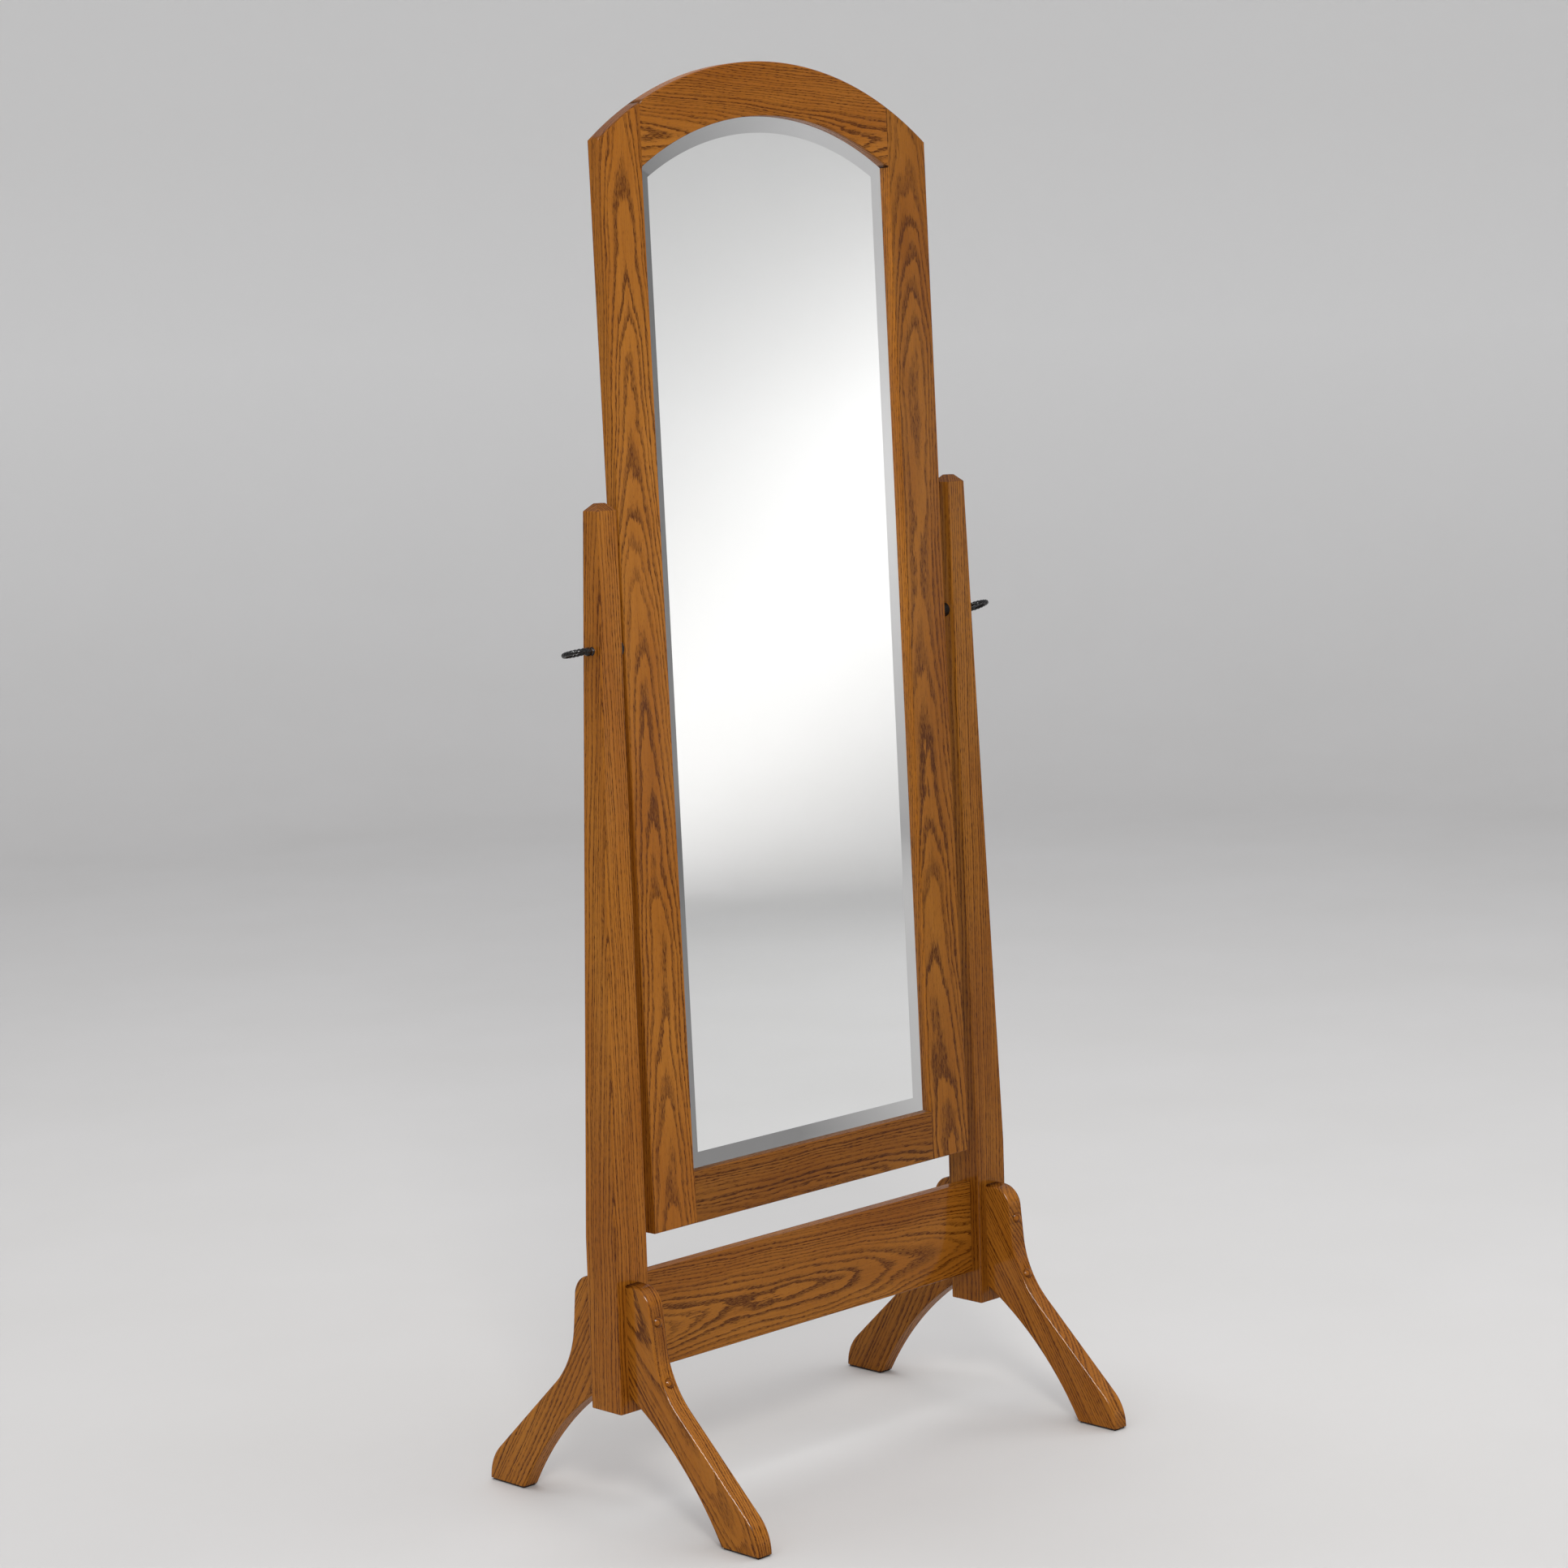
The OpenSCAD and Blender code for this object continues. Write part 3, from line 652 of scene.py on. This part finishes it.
def button_plug(bm):
    """A domed button with a turned rim, on its stem."""
    dome_r = (PLUG_R ** 2 + PLUG_H ** 2) / (2 * PLUG_H)
    rim = math.asin(PLUG_R / dome_r)
    dome = [(dome_r * math.sin(rim * k / 10), PLUG_H - dome_r + dome_r * math.cos(rim * k / 10))
            for k in range(9, 0, -1)]
    stem = [(PLUG_STEM_R, -PLUG_STEM_L), (PLUG_STEM_R, 0)]
    brim = [(6.7 * MM, 0), (7.15 * MM, 0.15 * MM)]
    lathe(bm, stem + brim + dome + [(0.2 * MM, PLUG_H)], 36)


posts = {
    -1: oak("oak_left_post", Z, Y, (-150, 130), 0.004, 3.7, 0.95, 6.5, 5),
    1: oak("oak_right_post", Z, Y, (140, 120), 0.005, 3.7, 0.74, 7.8, 5),
}
LEG_GRAIN_FALL = math.radians(56)     # how steeply the grain of a leg runs down to its foot
leg_grain = Vector((math.cos(LEG_GRAIN_FALL), 0, -math.sin(LEG_GRAIN_FALL)))
legs = {
    ("front", -1): oak("oak_front_left_leg", leg_grain, Y, (-190, 90), 0.03, 3.8, 0.97, 9.1, 14),
    ("front", 1): oak("oak_front_right_leg", leg_grain, Y, (-90, 80), 0.01, 3.6, 0.92, 10.4, 6),
    ("back", -1): oak("oak_back_left_leg", leg_grain, Y, (-100, 80), 0.02, 4.0, 0.92, 11.7, 8),
    ("back", 1): oak("oak_back_right_leg", leg_grain, Y, (-100, 90), 0.03, 4.4, 0.8, 13.0, 10),
}
plug_oak = oak("oak_plugs", X, Z, (6, 12), 0.02, 3.0, 0.95, 14.3, 2)

for side, word in [(-1, "left"), (1, "right")]:
    weigh_normals(make_piece(f"{word}_post_timber", post(side), Matrix.Translation((side * leg_x, 0, 0)),
                             "stand", [f"{word}_post"], posts[side]))
    for end, quarter in [("front", -1), ("back", 1)]:
        place = Matrix.Translation((side * leg_x, 0, 0)) @ Matrix.Rotation(quarter * math.pi / 2, 4, "Z")
        weigh_normals(make_piece(f"{end}_{word}_leg_board", leg, place, "stand",
                                 [f"{end}_{word}_leg"], legs[end, side]))
        weigh_normals(make_piece(f"{end}_{word}_foot_pad", foot_pad, place, "stand",
                                 ["foot_pads"], felt))
        for level, out, z, slope in PLUGS:
            seated = place @ Matrix.Translation((out, 0, z)) @ Matrix.Rotation(math.pi / 2 - slope, 4, "Y")
            seated = seated @ Matrix.Translation((0, 0, PLUG_LIFT))
            make_piece(f"{end}_{word}_{level}_plug", button_plug, seated, "stand",
                       ["screw_plugs"], plug_oak)
weigh_normals(make_piece("stretcher_board", stretcher, Matrix.Identity(4), "stand", ["stretcher"],
                         oak("oak_stretcher", X, Y, (-240, 60), 0.045, 3.2, 0.8, 15.6, 22)))


# Knobs ------------------------------------------------------------------------------------------

TWIST_QUARTERS = 20                   # a whole number, so that the bar's corners meet where the ring closes
BAR_SQUARENESS = 5                    # power of the bar's outline: 2 is round, and more is squarer


def twisted_ring(bm):
    """A square bar, twisted about its own line and bent into a ring."""
    loops = []
    around, about = 160, 24
    power = BAR_SQUARENESS
    corner = (2 * 0.5 ** (power / 2)) ** (-1 / power)
    for i in range(around):
        a = 2 * math.pi * i / around
        out = Vector((math.cos(a), math.sin(a), 0))
        loop = []
        for j in range(about):
            b = 2 * math.pi * j / about
            square = (abs(math.cos(b)) ** power + abs(math.sin(b)) ** power) ** (-1 / power)
            r = RING_ROD_R * square / corner
            c = b + TWIST_QUARTERS * a / 4
            loop.append(out * (RING_R + r * math.cos(c)) + Z * r * math.sin(c))
        loops.append(loop)
    loft(bm, loops, closed=True)


def collar(bm):
    """The ball that the ring grows from, flat on the side towards the post."""
    steps = 16
    flat = math.acos(COLLAR_L / 2 / COLLAR_R)
    angles = [math.pi - flat - (math.pi - 2 * flat) * k / steps for k in range(steps + 1)]
    lathe(bm, [(COLLAR_R * math.sin(a), COLLAR_L / 2 + COLLAR_R * math.cos(a)) for a in angles], 32)


for side, word in [(-1, "left"), (1, "right")]:
    ring_place = Matrix.Translation((side * ring_x, 0, pivot_z))
    ring_place = ring_place @ Matrix.Rotation(-RING_TURNS[side], 4, "X")
    make_piece(f"{word}_knob_twisted_ring", twisted_ring, ring_place, f"{word}_knob",
               [f"{word}_knob_ring"], black_iron)
    collar_place = Matrix.Translation((side * collar_x, 0, pivot_z))
    collar_place = collar_place @ Matrix.Rotation(side * math.pi / 2, 4, "Y")
    make_piece(f"{word}_knob_collar", collar, collar_place, f"{word}_knob",
               [f"{word}_knob_ring"], black_iron)


# Studio -----------------------------------------------------------------------------------------

FLOOR_R, COVE_R, WALL_TOP = 6.2, 2.2, 4.8


def cove(bm):
    """A round floor that sweeps up into a wall."""
    profile = [(1.5, 0), (3.0, 0), (4.6, 0), (FLOOR_R, 0)]
    profile += arc(COVE_R, -math.pi / 2, 0, 24, (FLOOR_R, COVE_R))
    profile.append((FLOOR_R + COVE_R, WALL_TOP))
    loft(bm, [circle(r, z, 128) for r, z in profile], caps=False)
    bm.verts.ensure_lookup_table()
    bm.faces.new(bm.verts[:128]).smooth = True


def floor_material():
    s = Shader("pale_floor")
    cloud = s.noise(s.coordinates(), 2.2, 4.0)
    grain = s.noise(s.coordinates(), 420.0, 2.0)
    height = s.node("SeparateXYZ", {0: s.coordinates()}).outputs[2]
    floor = s.mix(cloud, rgb(200, 198, 195), rgb(206, 204, 202))
    return s.finish(
        bump=(grain, 0.1 * MM, 0.2),
        Base_Color=s.mix(s.rescale(height, 0.0, 1.4), floor, rgb(226, 225, 223)),
        Roughness=s.rescale(grain, 0.3, 0.7, 0.55, 0.65),
        Specular_IOR_Level=0.05,
    )


make_piece("studio_cove", cove, Matrix.Identity(4), None, None, floor_material())


def area_light(name, place, target, size, power, colour=(1, 1, 1), roll=0):
    """A rectangular lamp at place, facing target; roll turns it about that line."""
    light = bpy.data.lights.new(name, "AREA")
    light.shape = "RECTANGLE"
    light.size, light.size_y = size
    light.energy = power
    light.color = colour
    lamp = bpy.data.objects.new(name, light)
    lamp.location = place
    aim = (Vector(target) - Vector(place)).to_track_quat("-Z", "Y")
    lamp.rotation_euler = (aim.to_matrix() @ Matrix.Rotation(roll, 3, "Z")).to_euler()
    bpy.context.scene.collection.objects.link(lamp)
    return lamp


area_light("key", (-3.0, -3.6, 3.6), (0, 0, 0.9), (1.0, 1.0), 100, (1.0, 0.985, 0.96))
glints = area_light("glints", (-3.8, -1.8, 3.45), (-0.35, -0.15, 0.25), (2.6, 1.6), 460,
                    roll=math.radians(33))
glints.visible_diffuse = False        # it only draws the highlights along the rounded edges
glints.visible_camera = False
BAND_SLANT = math.radians(-40)        # of the bright band that the glass shows
for soft in [
    area_light("fill", (4.4, -2.4, 2.6), (0, 0, 1.0), (2.4, 2.4), 40, (0.97, 0.985, 1.0)),
    area_light("overhead", (0, 0.6, 4.6), (0, 0, 0), (4.0, 4.0), 85),
    area_light("cove_wash", (4.99, -4.99, 1.36), (5.49, -5.49, 0.66), (2.6, 0.25), 17, roll=BAND_SLANT),
]:
    soft.visible_glossy = False       # the glass shows the lit cove, and not the lamps
    soft.visible_camera = False

world = bpy.data.worlds.new("studio")
world.use_nodes = True
world.node_tree.nodes["Background"].inputs["Color"].default_value = (0.93, 0.95, 1.0, 1.0)
world.node_tree.nodes["Background"].inputs["Strength"].default_value = 0.8
bpy.context.scene.world = world
bpy.context.scene.view_settings.view_transform = "Standard"


# Camera -----------------------------------------------------------------------------------------

CAMERA_PLACE = Vector((-3.5035, -3.5346, 1.5626))
YAW, PITCH, ROLL = (math.radians(a) for a in (44.66, 6.60, -1.88))

ahead = Vector((math.sin(YAW) * math.cos(PITCH), math.cos(YAW) * math.cos(PITCH), -math.sin(PITCH)))
level = Vector((math.cos(YAW), -math.sin(YAW), 0))
above = level.cross(ahead)
right = level * math.cos(ROLL) + above * math.sin(ROLL)
up = above * math.cos(ROLL) - level * math.sin(ROLL)
lens = bpy.data.cameras.new("camera")
lens.sensor_width = 36
lens.lens = 86.34
lens.shift_y = -0.0319
lens.clip_start, lens.clip_end = 0.1, 60
camera = bpy.data.objects.new("camera", lens)
camera.matrix_world = Matrix.Translation(CAMERA_PLACE) @ Matrix((right, up, -ahead)).transposed().to_4x4()
bpy.context.scene.collection.objects.link(camera)
bpy.context.scene.camera = camera

bpy.context.view_layer.update()
